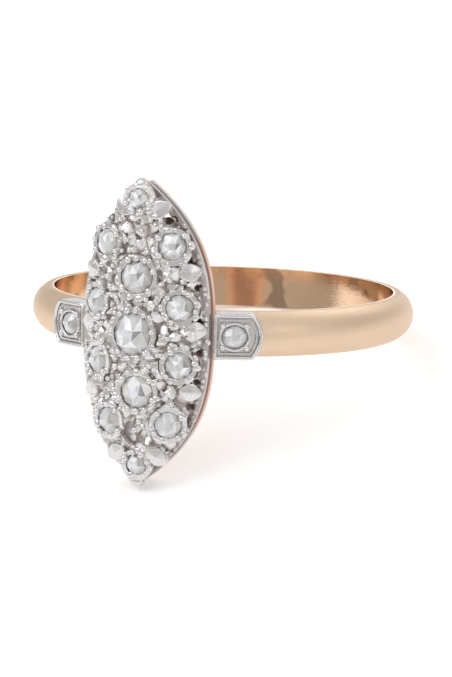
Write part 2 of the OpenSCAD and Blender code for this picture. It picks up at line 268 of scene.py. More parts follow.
# The plate's inner end and outer end from its stone's middle, the radius of its outer end, and its
# half width.
PLATE_START = -0.98
PLATE_END = 1.307
PLATE_END_R = 1.45
PLATE_HALF_WIDTH = 1.065
# How far in the wires along its border lie, with their diameters, and the steps of its rounded end,
# of each long side and of its straight end.
PLATE_WIRES = ((0.09, 0.2), (0.3, 0.08))
PLATE_END_STEPS = 12
PLATE_SIDE_STEPS = 8
PLATE_BACK_STEPS = 8
# The rim round a shoulder's stone, and its four grains with their place as a share of the stone.
SHOULDER_RIM_GROW = 0.16
SHOULDER_RIM_LIFT = 0.02
SHOULDER_RIM_WIRE = 0.15
SHOULDER_GRAIN_SHARE = 0.46
SHOULDER_GRAIN_LIFT = 0.06
SHOULDER_GRAIN_D = 0.3

# How finely the rounds are made.
WIRE_SIDES = 8
RING_SIDES = 10
RING_STEPS = 40

# Seeds of what is made by chance.
RIM_SEED = 7
GRAIN_SEED = 4
SMALL_GRAIN_SEED = 11
RAIL_SEED = 23
SHOULDER_SEED = 40

# The camera's place round the standing ring, its distance from the ring's middle, the photograph's
# scale there in pixels, and where the ring's middle lies in the picture. It sees what lies between
# two distances in metres.
PHOTO_SIZE = (452, 677)
CAMERA_AZIMUTH = 21.706
CAMERA_HEIGHT = 7.886
CAMERA_ROLL = 1.4
CAMERA_DISTANCE = 99.9
PIXELS_PER_MM = 19.634
RING_PIXEL = (223.2, 307.3)
SENSOR = 36
CAMERA_NEAR = 0.005
CAMERA_FAR = 10

# Lamps: name, direction from the ring, size in metres and power in watts.
LAMPS = [
    ("key", (-0.6, -0.5, 1.0), 0.20, 0.20),
    ("fill", (1.0, -0.5, 0.55), 0.10, 0.05),
    ("rim", (0.3, 1.0, 0.7), 0.14, 0.09),
]
# Their distance, and half the floor's side, in metres.
LAMP_DISTANCE = 0.25
FLOOR_REACH = 1.5

# The sky's colour low down and overhead, how high up it is full, and its strength.
SKY_LOW = (0.50, 0.48, 0.47)
SKY_HIGH = (1, 1, 1)
SKY_FULL = 0.7
SKY_STRENGTH = 0.83

hole = frame["record"]["mounts"][0]
ring_middle = Vector(hole["pos_m"])
ring_axis = Vector(hole["axis"]).normalized()
across = Vector((1, 0, 0))
head_out = across.cross(ring_axis)


def frame_of(x_way, y_way, z_way):
    """A frame in millimetres from the ring's middle, whose axes are the three given directions."""
    turn = Matrix((x_way, y_way, z_way)).transposed().to_4x4()
    return Matrix.Translation(ring_middle) @ turn @ Matrix.Scale(MM, 4)


# The head's frame has X across, Y along the finger and Z outwards, and the ring's frame has its
# axis along Z and the head towards -Y.
HEAD = frame_of(across, ring_axis, head_out)
RING = frame_of(across, -head_out, ring_axis)


def shift(x=0.0, y=0.0, z=0.0):
    return Matrix.Translation((x, y, z))


def turned(angle, way):
    return Matrix.Rotation(math.radians(angle), 4, way)


def stretched(x, y, z):
    return Matrix.Diagonal((x, y, z, 1))


def half_width(share):
    """The head's half width at a share of its half length."""
    return HALF_WIDTH * (1 - abs(share) ** OUTLINE_POWER)


def on_dome(x, y):
    """The frame of a place on the dome, with Z along the dome's normal."""
    lean = math.asin(x / DOME_CROSS_R)
    pitch = math.asin(y / (DOME_HUB_R + DOME_CROSS_R * math.cos(lean)))
    hub = shift(z=DOME_TOP - DOME_LONG_R) @ Matrix.Rotation(-pitch, 4, "X") @ shift(z=DOME_HUB_R)
    return HEAD @ hub @ Matrix.Rotation(lean, 4, "Y") @ shift(z=DOME_CROSS_R)


def on_plate(side):
    """The frame of a shoulder plate's stone, with X round the ring and Z outwards."""
    return RING @ turned(side * PLATE_ANGLE, "Z") @ shift(y=-PLATE_R) @ turned(90, "X")


def beside_oval(w, l, reach, angle):
    """A place round an oval's middle, by reach outside its edge."""
    a = math.radians(angle)
    return (w / 2 + reach) * math.cos(a), (l / 2 + reach) * math.sin(a)


# Shader maths


class Value:
    """A shader socket that can stand in a sum: each operator adds a Math node."""

    def __init__(self, finish, socket):
        self.finish = finish
        self.socket = socket

    def maths(self, operation, *others):
        return self.finish.node("ShaderNodeMath", {"operation": operation}, (self, *others))

    def __add__(self, other):
        return self.maths("ADD", other)

    def __radd__(self, other):
        return self.maths("ADD", other)

    def __sub__(self, other):
        return self.maths("SUBTRACT", other)

    def __rsub__(self, other):
        return self.finish.node("ShaderNodeMath", {"operation": "SUBTRACT"}, (other, self))

    def __mul__(self, other):
        return self.maths("MULTIPLY", other)

    def __rmul__(self, other):
        return self.maths("MULTIPLY", other)

    def __pow__(self, other):
        return self.maths("POWER", other)

    def root(self):
        return self.maths("SQRT")

    def or_more(self, other):
        return self.maths("MAXIMUM", other)


class Finish:
    """A material and the one way to add nodes to it."""

    def __init__(self, name):
        self.material = bpy.data.materials.new(name)
        self.material.use_nodes = True
        self.tree = self.material.node_tree
        self.shader = self.tree.nodes["Principled BSDF"]
        self.object_place = self.node("ShaderNodeTexCoord", out="Object")

    def node(self, kind, settings=None, inputs=None, out=0):
        """Adds a node: its settings first, then the values or links of its sockets."""
        made = self.tree.nodes.new(kind)
        for name, value in (settings or {}).items():
            if name == "stops":
                self.set_stops(made.color_ramp, value)
            else:
                setattr(made, name, value)
        named = inputs.items() if isinstance(inputs, dict) else enumerate(inputs or ())
        for key, value in named:
            self.feed(made.inputs[key], value)
        return Value(self, made.outputs[out])

    def set_stops(self, ramp, stops):
        while len(ramp.elements) < len(stops):
            ramp.elements.new(1)
        for element, (place, colour) in zip(ramp.elements, stops):
            element.position = place
            element.color = (*colour, 1)

    def feed(self, socket, value):
        if isinstance(value, Value):
            self.tree.links.new(value.socket, socket)
        elif socket.type == "RGBA":
            socket.default_value = (*value, 1)
        else:
            socket.default_value = value

    def set(self, **sockets):
        """Sets or links the shader's sockets; an underscore stands for a space."""
        for name, value in sockets.items():
            self.feed(self.shader.inputs[name.replace("_", " ")], value)

    def mix(self, share, a, b):
        """A colour between a and b. A Mix node's colours have the sockets 6, 7 and 2."""
        return self.node(
            "ShaderNodeMix", {"data_type": "RGBA"}, {0: share, 6: a, 7: b}, out=2
        )

    def step(self, value, low, high):
        """Rises smoothly from 0 at low to 1 at high."""
        return self.node(
            "ShaderNodeMapRange",
            {"interpolation_type": "SMOOTHSTEP"},
            {"Value": value, "From Min": low, "From Max": high, "To Min": 0.0, "To Max": 1.0},
        )

    def noise(self, per_mm, detail, place=None):
        """Noise whose lumps come so many to a millimetre."""
        inputs = {
            "Vector": place or self.object_place,
            "Scale": per_mm / MM,
            "Detail": detail,
            "Roughness": NOISE_ROUGHNESS,
        }
        return self.node("ShaderNodeTexNoise", {}, inputs)

    def along(self, way):
        """Distance in millimetres from the ring's middle along a direction."""
        offset = self.node(
            "ShaderNodeVectorMath",
            {"operation": "SUBTRACT"},
            (self.object_place, tuple(ring_middle)),
        )
        return self.node(
            "ShaderNodeVectorMath",
            {"operation": "DOT_PRODUCT"},
            (offset, tuple(Vector(way) / MM)),
            out="Value",
        )

    def over_dome(self):
        """Height in millimetres over the dome's surface."""
        x = self.along(across)
        y = self.along(ring_axis)
        z = self.along(head_out) - (DOME_TOP - DOME_LONG_R)
        over_hub = (y * y + z * z).root() - DOME_HUB_R
        return (x * x + over_hub * over_hub).root() - DOME_CROSS_R

    def bump(self, height, strength, depth_mm):
        inputs = {"Strength": strength, "Distance": depth_mm * MM, "Height": height}
        return self.node("ShaderNodeBump", {}, inputs)


# The finishes. Each pattern's fineness is its number of lumps to a millimetre, and each step is a
# pair: where it starts, and where it is complete. Relief is a bump's strength, from 0 to 1, and its
# depth, with the share that each pattern has in it.

NOISE_ROUGHNESS = 0.55

GOLD_OUTSIDE = (0.74, 0.575, 0.425)
GOLD_INSIDE_PAINTED_REFLECTION = (0.85, 0.60, 0.39)
GOLD_PAINTED_DARK_REFLECTION = (0.22, 0.13, 0.09)
GOLD_RED = (0.80, 0.57, 0.49)
GOLD_CLOUD = (0.80, 0.52, 0.38)
SILVER = (0.71, 0.695, 0.695)
SILVER_GREY = (0.62, 0.60, 0.60)
# Tarnish and painted shade in the head's recesses, and painted shade in the plates' recesses.
TARNISH_AND_PAINTED_SHADE = (0.50, 0.44, 0.41)
PLATE_SHADE = (0.58, 0.55, 0.53)

# The gold turns from the band's inside, warmer with a painted reflection of the band in itself, to
# its outside with distance from the ring's axis, and to the head's with height.
OUTSIDE_STEP = (FINGER_R + 0.02, FINGER_R + 0.2)
HEAD_STEP = (FINGER_R + 0.35, FINGER_R + 0.5)

# Silver has run over the gold rail at its outer edge, above its foot, near both tips.
RUN_EDGE_STEP = (HALF_WIDTH - 0.3, HALF_WIDTH - 0.15)
RUN_FOOT_STEP = (RAIL_FOOT + 0.02, RAIL_FOOT + 0.06)
RUN_TIP_STEP = (0.55, 0.72)

# Painted dark reflections in patches inside the band, with their pattern's shift in metres, and
# the redder clouds.
PAINTED_REFLECTION_FINENESS = 0.42
PAINTED_REFLECTION_STEP = (0.54, 0.61)
PAINTED_REFLECTION_SHARE = 0.6
PAINTED_REFLECTION_SHIFT = (0.004, 0.0, 0.0)
CLOUD_FINENESS = 0.35
CLOUD_SHARE = 0.16

# Fine wear, in streaks across the Z that the pattern is squeezed along, and finer grain.
STREAK_TURN = (math.radians(-18.4), 0, 0)
STREAK_SQUEEZE = (1, 1, 9)
WEAR_FINENESS = 2.2
WEAR_STEP = (0.42, 0.75)
GOLD_GRAIN_FINENESS = 9

# The gold's roughness inside the band, and what its outside and its wear add to it.
GOLD_ROUGHNESS = 0.09
OUTSIDE_ROUGHNESS = 0.40
WEAR_ROUGHNESS = 0.10
GOLD_RELIEF = (0.10, 0.03)
WEAR_RELIEF = 0.6
GOLD_GRAIN_RELIEF = 0.4


def silver_run(f, x, out):
    """Where silver has run over the gold rail."""
    y = f.along(ring_axis)
    share = (y * y).root() * (1 / HALF_LENGTH)
    to_edge = (x * x).root() + HALF_WIDTH * share ** OUTLINE_POWER
    at_edge = f.step(to_edge, *RUN_EDGE_STEP)
    above_foot = f.step(out, *RUN_FOOT_STEP)
    return f.step(share, *RUN_TIP_STEP) * at_edge * above_foot


def rose_gold_finish():
    """Polished rose gold with fine wear, a warmer inside and dark patches inside the band that are
    painted reflections, a redder head, and silver run over the head's edge near the tips."""
    f = Finish("rose_gold")
    out = f.along(head_out)
    x = f.along(across)
    from_axis = (x * x + out * out).root()
    outside = f.step(from_axis, *OUTSIDE_STEP)
    # The inside's warmer colour is a painted reflection.
    gold = f.mix(outside, GOLD_INSIDE_PAINTED_REFLECTION, GOLD_OUTSIDE)
    at_head = f.step(out, *HEAD_STEP)
    gold = f.mix(at_head, gold, f.mix(silver_run(f, x, out), GOLD_RED, SILVER))
    # Patches of painted dark reflection inside the band, their pattern shifted to place one of
    # them.
    reflection_place = f.node("ShaderNodeMapping", {}, {"Vector": f.object_place, "Location": PAINTED_REFLECTION_SHIFT})
    painted_reflection = f.step(f.noise(PAINTED_REFLECTION_FINENESS, 2.0, reflection_place), *PAINTED_REFLECTION_STEP)
    gold = f.mix(PAINTED_REFLECTION_SHARE * painted_reflection * (1 - outside), gold, GOLD_PAINTED_DARK_REFLECTION)
    gold = f.mix(f.noise(CLOUD_FINENESS, 2.0) * CLOUD_SHARE, gold, GOLD_CLOUD)
    streaks = f.node(
        "ShaderNodeMapping",
        {},
        {"Vector": f.object_place, "Rotation": STREAK_TURN, "Scale": STREAK_SQUEEZE},
    )
    wear = f.noise(WEAR_FINENESS, 4.0, streaks)
    grain = f.noise(GOLD_GRAIN_FINENESS, 2.0)
    worn = f.step(wear, *WEAR_STEP)
    f.set(
        Base_Color=gold,
        Metallic=1.0,
        Roughness=GOLD_ROUGHNESS + OUTSIDE_ROUGHNESS * outside + WEAR_ROUGHNESS * worn,
        Normal=f.bump(wear * WEAR_RELIEF + grain * GOLD_GRAIN_RELIEF, *GOLD_RELIEF),
    )
    return f.material


# Patches that make the silver's recesses end unevenly, and how high they reach.
PATCH_FINENESS = 1.6
PATCH_HEIGHT = 0.10
# The heights on the head between which silver stops being kept bright, free of painted shade,
# whatever its recess, and how bright it is below them.
LOW_STEP = (RAIL_TOP, RAIL_TOP + 0.15)
LOW_BRIGHT = 0.85
SILVER_TINT_FINENESS = 0.8
SILVER_TINT_SHARE = 0.35
SILVER_GRAIN_FINENESS = 6
SILVER_GRAIN_STEP = (0.4, 0.7)
SILVER_WAVE_FINENESS = 2.2
# How metallic and how rough the silver is where it is darkest, and what brightness and grain
# change of that.
DARK_METAL = 0.55
BRIGHT_METAL = 0.4
DARK_ROUGHNESS = 0.48
BRIGHT_SMOOTHNESS = 0.22
GRAIN_ROUGHNESS = 0.08
SILVER_RELIEF = (0.3, 0.05)
SILVER_GRAIN_RELIEF = 0.18
# Heights in the recesses of the head and of the shoulder plates over which painted shade fades out.
HEAD_RECESS_STEP = (0.0, 0.2)
PLATE_RECESS_STEP = (-0.09, -0.02)


def silver_finish(name, recess, recess_step, shade):
    """Silver with tarnish and painted shade in its recesses: recess gives the height that its step
    is read at. What lies lower than the rail's top, the shoulder plates too, stays nearly bright."""
    f = Finish(name)
    patches = f.noise(PATCH_FINENESS, 3.0)
    height = recess(f) + (patches - 0.5) * PATCH_HEIGHT
    below = 1 - f.step(f.along(head_out), *LOW_STEP)
    # Where bright is low, the recess takes painted shade, with tarnish on the head.
    bright = f.step(height, *recess_step).or_more(LOW_BRIGHT * below)
    tint = f.noise(SILVER_TINT_FINENESS, 2.0) * SILVER_TINT_SHARE
    silver = f.mix(tint, SILVER, SILVER_GREY)
    grain = f.noise(SILVER_GRAIN_FINENESS, 3.0)
    waves = f.noise(SILVER_WAVE_FINENESS, 2.0)
    dark_roughness = DARK_ROUGHNESS - BRIGHT_SMOOTHNESS * bright
    f.set(
        Base_Color=f.mix(bright, shade, silver),
        Metallic=DARK_METAL + BRIGHT_METAL * bright,
        Roughness=dark_roughness + GRAIN_ROUGHNESS * f.step(grain, *SILVER_GRAIN_STEP),
        Normal=f.bump(grain * SILVER_GRAIN_RELIEF + waves, *SILVER_RELIEF),
    )
    return f.material


def head_recess(f):
    return f.over_dome()


def plate_recess(f):
    """Height over the shoulder plates' top."""
    x = f.along(across)
    out = f.along(head_out)
    return (x * x + out * out).root() - PLATE_R


# Colours of a stone's painted facet light, and the crystal's own pattern in them.
STONE_STOPS = [
    (0.0, (0.16, 0.16, 0.17)),
    (0.35, (0.38, 0.37, 0.34)),
    (0.7, (0.60, 0.60, 0.61)),
    (1.0, (0.86, 0.86, 0.93)),
]
CRYSTAL_FINENESS = 1.9
CRYSTAL_STEP = (0.15, 0.75)
CRYSTAL_SHARE = 0.22


def stone_finish():
    """A rose-cut stone: each facet has its own painted light and reflection, with a pattern of
    crystal over all of them.
    """
    f = Finish("rose_cut_stone")
    # Each facet's painted light and reflection, read from its attribute.
    tone = f.node("ShaderNodeAttribute", {"attribute_name": "tone"}, out="Fac")
    crystal = f.node(
        "ShaderNodeTexVoronoi",
        {"distance": "CHEBYCHEV"},
        {"Vector": f.object_place, "Scale": CRYSTAL_FINENESS / MM},
        out="Distance",
    )
    light = tone + (f.step(crystal, *CRYSTAL_STEP) - 0.5) * CRYSTAL_SHARE
    f.set(
        Base_Color=f.node("ShaderNodeValToRGB", {"stops": STONE_STOPS}, (light,), out="Color"),
        Roughness=0.04,
        IOR=2.2,
        Coat_Weight=0.6,
        Coat_Roughness=0.02,
    )
    return f.material


FLOOR_GREY = (0.93, 0.93, 0.93)
FLOOR_WHITE = (0.96, 0.96, 0.96)
FLOOR_FINENESS = 0.2


def floor_finish():
    """A plain matt floor that glows a little, so that it is as white as the photograph's ground."""
    f = Finish("pale_floor")
    grain = f.noise(FLOOR_FINENESS, 2.0)
    f.set(
        Base_Color=f.mix(grain, FLOOR_GREY, FLOOR_WHITE),
        Roughness=0.9,
        Emission_Color=(1.0, 1.0, 1.0),
        Emission_Strength=0.2,
    )
    return f.material


# Shapes


def finished(bm, name, material, smooth=True, replaced=()):
    """Makes the object of a piece, whose place is in its mesh, and lets it ride with the ring."""
    bmesh.ops.recalc_face_normals(bm, faces=bm.faces)
    mesh = bpy.data.meshes.new(name)
    for face in bm.faces:
        face.smooth = smooth
    bm.to_mesh(mesh)
    bm.free()
    mesh.materials.append(material)
    piece = bpy.data.objects.new(name, mesh)
    bpy.context.scene.collection.objects.link(piece)
    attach(piece, "root")
    for node in replaced:
        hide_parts(node)


def edges_at(verts):
    """The edges that meet the given vertices, each once."""
    return list(dict.fromkeys(e for v in verts for e in v.link_edges))


def join_round(bm, loops):
    """Bridges each loop of edges to the next one, and the last to the first."""
    for near, far in zip(loops, loops[1:] + loops[:1]):
        bmesh.ops.bridge_loops(bm, edges=near + far)


def add_bead(bm, place, d, tall=1.0, round_steps=2):
    """A round bead, drawn out along Z by tall."""
    bmesh.ops.create_icosphere(
        bm, subdivisions=round_steps, radius=d / 2, matrix=place @ stretched(1, 1, tall)
    )


def add_wire(bm, places, wire):
    """A closed round wire through the given frames, whose Z points along the wire."""
    loops = []
    for place in places:
        made = bmesh.ops.create_circle(bm, segments=WIRE_SIDES, radius=wire / 2, matrix=place)
        loops.append(edges_at(made["verts"]))
    join_round(bm, loops)


def add_ring(bm, place, w, l, wire):
    """A round wire bent to an oval of the given width and length at its middle."""
    start = set(bm.verts)
    made = bmesh.ops.create_circle(
        bm, segments=RING_SIDES, radius=wire / 2, matrix=shift(x=w / 2) @ turned(90, "X")
    )
    bmesh.ops.spin(
        bm,
        geom=made["verts"] + edges_at(made["verts"]),
        cent=(0, 0, 0),
        axis=(0, 0, 1),
        angle=math.tau,
        steps=RING_STEPS,
        use_merge=True,
    )
    verts = [v for v in bm.verts if v not in start]
    bmesh.ops.transform(bm, matrix=place @ stretched(1, l / w, 1), verts=verts)


def unevened(bm, amount, fineness):
    """Moves the vertices of a mesh in millimetres a little, as hand work does."""
    for v in bm.verts:
        v.co += noise.noise_vector(v.co * fineness) * amount


def add_cut_leaf(bm, place, l, w, foot, wall, peak, edge, corner):
    """A four-sided leaf with bright cut slopes and round corners: a wall from foot up to wall, and
    slopes that rise to a point at peak."""
    base = bmesh.ops.create_circle(
        bm, cap_ends=True, segments=4, radius=1, matrix=shift(z=foot) @ stretched(l / 2, w / 2, 1)
    )
    cut = bmesh.ops.bevel(
        bm,
        geom=base["verts"],
        offset=corner,
        segments=3,
        profile=0.5,
        affect="VERTICES",
        material=-1,
    )
    corners = [v for v in cut["verts"] if v.is_valid]
    up = bmesh.ops.extrude_face_region(bm, geom=[corners[0].link_faces[0]])
    lid = [g for g in up["geom"] if isinstance(g, bmesh.types.BMFace)][0]
    lifted = [g for g in up["geom"] if isinstance(g, bmesh.types.BMVert)]
    bmesh.ops.translate(bm, vec=(0, 0, wall - foot), verts=lifted)
    rounded = bmesh.ops.bevel(
        bm,
        geom=list(lid.edges),
        offset=edge,
        segments=2,
        profile=0.5,
        affect="EDGES",
        material=-1,
    )
    verts = {v for v in corners + lifted if v.is_valid}
    verts |= {v for v in rounded["verts"] if v.is_valid}
    faces = {f for v in verts for f in v.link_faces}
    top = max(faces, key=lambda f: f.calc_center_median().z)
    poked = bmesh.ops.poke(bm, faces=[top], offset=peak - wall)
    verts |= set(poked["verts"])
    bmesh.ops.transform(bm, matrix=place, verts=list(verts))


def add_painted_facet_light(bm, crown, seed, contrast):
    """Gives each facet its painted light and reflection as an attribute, brighter in the crown's
    upper half, with one painted dark facet towards PAINTED_DARK_WAY. They keep a share of their
    contrast."""
    chance = random.Random(seed)
    tone = bm.faces.layers.float.new("tone")
    dark_way = math.radians(PAINTED_DARK_WAY)
    aim = Vector((math.cos(dark_way), math.sin(dark_way)))
    slopes = []
    for face in bm.faces:
        height = (face.calc_center_median().z - GIRDLE) / crown
        # Painted light: facets in the crown's upper half brighter than those below.
        face[tone] = chance.uniform(*(UPPER_PAINTED_LIGHT if height > 0.5 else LOWER_PAINTED_LIGHT))
        if DARK_LOWEST < height < DARK_HIGHEST:
            slopes.append(face)
    # A painted dark reflection on one facet.
    dark = max(slopes, key=lambda face: face.calc_center_median().xy.normalized().dot(aim))
    dark[tone] = PAINTED_DARK_FACET
    for face in bm.faces:
        face[tone] = face[tone] * contrast + CLOUDY_TONE * (1 - contrast)


def cut_stone(name, place, w, l, turn, seed):
    """A rose-cut stone with a small table, in place of the solid one."""
    bm = bmesh.new()
    crown = CROWN_SHARE * min(w, l)
    for count, share, girdles, crowns, offset in STONE_LOOPS:
        lift = shift(z=girdles * GIRDLE + crowns * crown)
        bmesh.ops.create_circle(
            bm,
            segments=count,
            radius=share,
            matrix=stretched(w / 2, l / 2, 1) @ lift @ turned(turn + offset, "Z"),
        )
    bmesh.ops.convex_hull(bm, input=list(bm.verts))
    bmesh.ops.dissolve_limit(
        bm, angle_limit=math.radians(SAME_FACET), verts=list(bm.verts), edges=list(bm.edges)
    )
    bmesh.ops.recalc_face_normals(bm, faces=bm.faces)
    add_painted_facet_light(bm, crown, seed, CLOUDY.get(name, 1))
    bmesh.ops.bevel(
        bm,
        geom=list(bm.edges),
        offset=FACET_BEVEL,
        segments=1,
        profile=0.5,
        affect="EDGES",
        material=-1,
    )
    bmesh.ops.transform(bm, matrix=place, verts=bm.verts)
    finished(bm, name + "_cut", STONE_FINISH, smooth=False, replaced=(name,))


# The head's pieces


def head_places():
    """Each head stone's row with the frame of its place on the dome."""
    for row in HEAD_STONES:
        yield row, on_dome(row[1] * HALF_WIDTH, row[2] * HALF_LENGTH)


def make_rims():
    """The bright rounded rim of each collet. Unseeded, its noise would differ from run to run."""
    bm = bmesh.new()
    noise.seed_set(RIM_SEED)
    grow = RIM_WIRE - RIM_OVER
    for (_, _, _, w, l, _, _), place in head_places():
        rim = bmesh.new()
        add_ring(rim, Matrix(), w + grow, l + grow, RIM_WIRE)
        unevened(rim, RIM_UNEVEN, RIM_FINENESS + w / RIM_WIDTH_PER_LUMP)
        sunk = place @ shift(z=COLLET_RISE - RIM_SINK) @ stretched(1, 1, RIM_HEIGHT)
        bmesh.ops.transform(rim, matrix=sunk, verts=rim.verts)
        holder = bpy.data.meshes.new("rim")
        rim.to_mesh(holder)
        rim.free()
        bm.from_mesh(holder)
        bpy.data.meshes.remove(holder)
    finished(bm, "collet_rims", HEAD_SILVER)


def make_grains():
    """The grains of metal pushed over each stone's edge, and the uneven metal round them."""
    bm = bmesh.new()
    chance = random.Random(GRAIN_SEED)
    for (_, _, _, w, l, _, angles), place in head_places():
        count = round(math.pi * (w + l) / 2 / LUMP_PITCH)
        for k in range(count):
            angle = (k + chance.uniform(-LUMP_STRAY, LUMP_STRAY)) * 360 / count
            stretch = (chance.uniform(*LUMP_OUTWARDS), chance.uniform(*LUMP_SIDEWAYS), 1)
            lump = turned(angle, "Z") @ stretched(*stretch)
            reach = COLLET_WALL * chance.uniform(*LUMP_REACH)
            x, y = beside_oval(w, l, reach, angle)
            tall = chance.uniform(*LUMP_TALL)
            d = chance.uniform(*LUMP_D)
            add_bead(bm, place @ shift(x, y, COLLET_RISE - LUMP_SINK) @ lump, d, tall=tall)
        for angle in angles:
            x, y = beside_oval(w, l, COLLET_WALL * GRAIN_REACH, angle)
            d = chance.uniform(*GRAIN_D)
            lean = turned(angle, "Z") @ stretched(GRAIN_STRETCH, 1, 1)
            add_bead(bm, place @ shift(x, y, COLLET_RISE + GRAIN_LIFT) @ lean, d)
    finished(bm, "stone_grains", HEAD_SILVER)


def make_petals():
    """The bright-cut lozenges between the stones along both edges."""
    bm = bmesh.new()
    for side, share, angle, size in PETALS:
        place = on_dome(side * (half_width(share) - PETAL_INSET), share * HALF_LENGTH)
        lean = turned(side * angle + (0 if side > 0 else 180), "Z")
        out = shift(x=(size - 1) * PETAL_LENGTH / 2)
        add_cut_leaf(
            bm,
            place @ lean @ out,
            size * PETAL_LENGTH,
            PETAL_WIDTH,
            PETAL_FOOT,
            PETAL_WALL,
            PETAL_PEAK,
            PETAL_EDGE,
            PETAL_CORNER * size,
        )
    finished(bm, "edge_petals", HEAD_SILVER, smooth=False)


def make_leaves():
    """The bright cut leaves between the stones."""
    bm = bmesh.new()
    for x, y, l, w, angle in LEAVES:
        place = on_dome(x * HALF_WIDTH, y * HALF_LENGTH) @ turned(angle, "Z")
        add_cut_leaf(
            bm, place, l, w, LEAF_FOOT, LEAF_WALL, LEAF_PEAK, LEAF_EDGE, LEAF_CORNER
        )
    finished(bm, "cut_leaves", HEAD_SILVER, smooth=False)


def keep_outs():
    """Middle and radius of what the metal between the stones keeps clear of."""
    for _, x, y, w, l, _, _ in HEAD_STONES:
        yield x * HALF_WIDTH, y * HALF_LENGTH, (w + l) / 4 + COLLET_WALL
    r = OPENING_D / 2 + OPENING_MARGIN
    for side in (-1, 1):
        for share in OPENINGS:
            yield side * (half_width(share) - OPENING_INSET), share * HALF_LENGTH, r


def is_open(x, y, blocked, under, inset):
    """Whether a place is on the head's metal, and not further than under inside what is blocked."""
    if abs(y) > HALF_LENGTH or abs(x) > half_width(y / HALF_LENGTH) - inset:
        return False
    return all(math.hypot(x - u, y - v) > r - under for u, v, r in blocked)


def near_tip(y):
    return abs(y) > TIP_START * HALF_LENGTH


def cut_height(x, y):
    """Height of the metal between the stones over the dome: tilted cuts with grooves between."""
    where = Vector((x, y, 0)) / CUT_SIZE
    gaps, middles = noise.voronoi(where)
    lean = noise.cell_vector(middles[0] * TILT_PATTERN) * 2 - Vector((1, 1, 1))
    off = (where - middles[0]) * CUT_SIZE
    crest = min(1, (gaps[1] - gaps[0]) * GROOVE_SLOPE)
    rise = CUT_RISE * (GROOVE_LEFT + (1 - GROOVE_LEFT) * crest)
    return CUT_LOW + rise + CUT_TILT * (lean.x * off.x + lean.y * off.y)


def pinched_faces(bm):
    """A face at each vertex where a sheet's edge meets itself."""
    return {v.link_faces[0] for v in bm.verts if sum(e.is_boundary for e in v.link_edges) > 2}


def make_metal_between():
    """The bright-cut metal between the stones, a closed sheet of small tilted cuts."""
    bm = bmesh.new()
    bmesh.ops.create_grid(
        bm,
        x_segments=round(2 * HALF_WIDTH / CUT_STEP),
        y_segments=round(2 * HALF_LENGTH / CUT_STEP),
        size=1,
        matrix=stretched(HALF_WIDTH, HALF_LENGTH, 1),
    )
    blocked = list(keep_outs())
    covered = []
    for face in bm.faces:
        x, y = face.calc_center_median().xy
        if not is_open(x, y, blocked, CUT_OVERLAP, CUT_TIP_INSET if near_tip(y) else CUT_INSET):
            covered.append(face)
    bmesh.ops.delete(bm, geom=covered, context="FACES")
    while pinched := pinched_faces(bm):
        bmesh.ops.delete(bm, geom=list(pinched), context="FACES")
    for _ in range(EDGE_ROUNDS):
        edge = [v for v in bm.verts if v.is_boundary]
        bmesh.ops.smooth_vert(bm, verts=edge, factor=EDGE_SMOOTH, use_axis_x=True, use_axis_y=True)
    up = bmesh.ops.extrude_face_region(bm, geom=list(bm.faces))
    lifted = {g for g in up["geom"] if isinstance(g, bmesh.types.BMVert)}
    to_head = HEAD.inverted()
    for v in bm.verts:
        x, y = v.co.xy
        place = on_dome(x, y)
        foot = CUT_FOOT
        if near_tip(y) and abs(x) > half_width(y / HALF_LENGTH) - DOME_INSET:
            foot = RAIL_TOP - (to_head @ place.translation).z
        v.co = place @ Vector((0, 0, cut_height(x, y) if v in lifted else foot))
    finished(bm, "metal_between", HEAD_SILVER, smooth=False)


def open_places(chance):
    """Places on the dome between the stones, on a loose grid."""
    blocked = list(keep_outs())
    rows = int(HALF_LENGTH / (SMALL_PITCH * SMALL_ROWS))
    columns = int(HALF_WIDTH / SMALL_PITCH) + 1
    for j in range(-rows, rows + 1):
        for i in range(-columns, columns + 1):
            x = (i + 0.5 * (j % 2) + chance.uniform(-SMALL_STRAY, SMALL_STRAY)) * SMALL_PITCH
            y = (j * SMALL_ROWS + chance.uniform(-SMALL_STRAY, SMALL_STRAY)) * SMALL_PITCH
            if is_open(x, y, blocked, 0, SMALL_INSET):
                yield x, y


def make_small_grains():
    """The grains raised from the metal between the stones."""
    bm = bmesh.new()
    chance = random.Random(SMALL_GRAIN_SEED)
    for x, y in open_places(chance):
        if chance.random() < SMALL_SHARE:
            d = chance.uniform(*SMALL_D)
            add_bead(bm, on_dome(x, y) @ shift(z=CUT_RISE), d, tall=SMALL_TALL)
    x, y = UPPER_LEFT_GRAIN
    place = on_dome(x * HALF_WIDTH, y * HALF_LENGTH)
    add_bead(bm, place, UPPER_LEFT_D, tall=UPPER_LEFT_TALL)
    finished(bm, "small_grains", HEAD_SILVER)


def on_rail(side, share, inset):
    """The frame of a place on the rail, set in from the head's edge."""
    return HEAD @ shift(side * (half_width(share) - inset), share * HALF_LENGTH, RAIL_TOP)


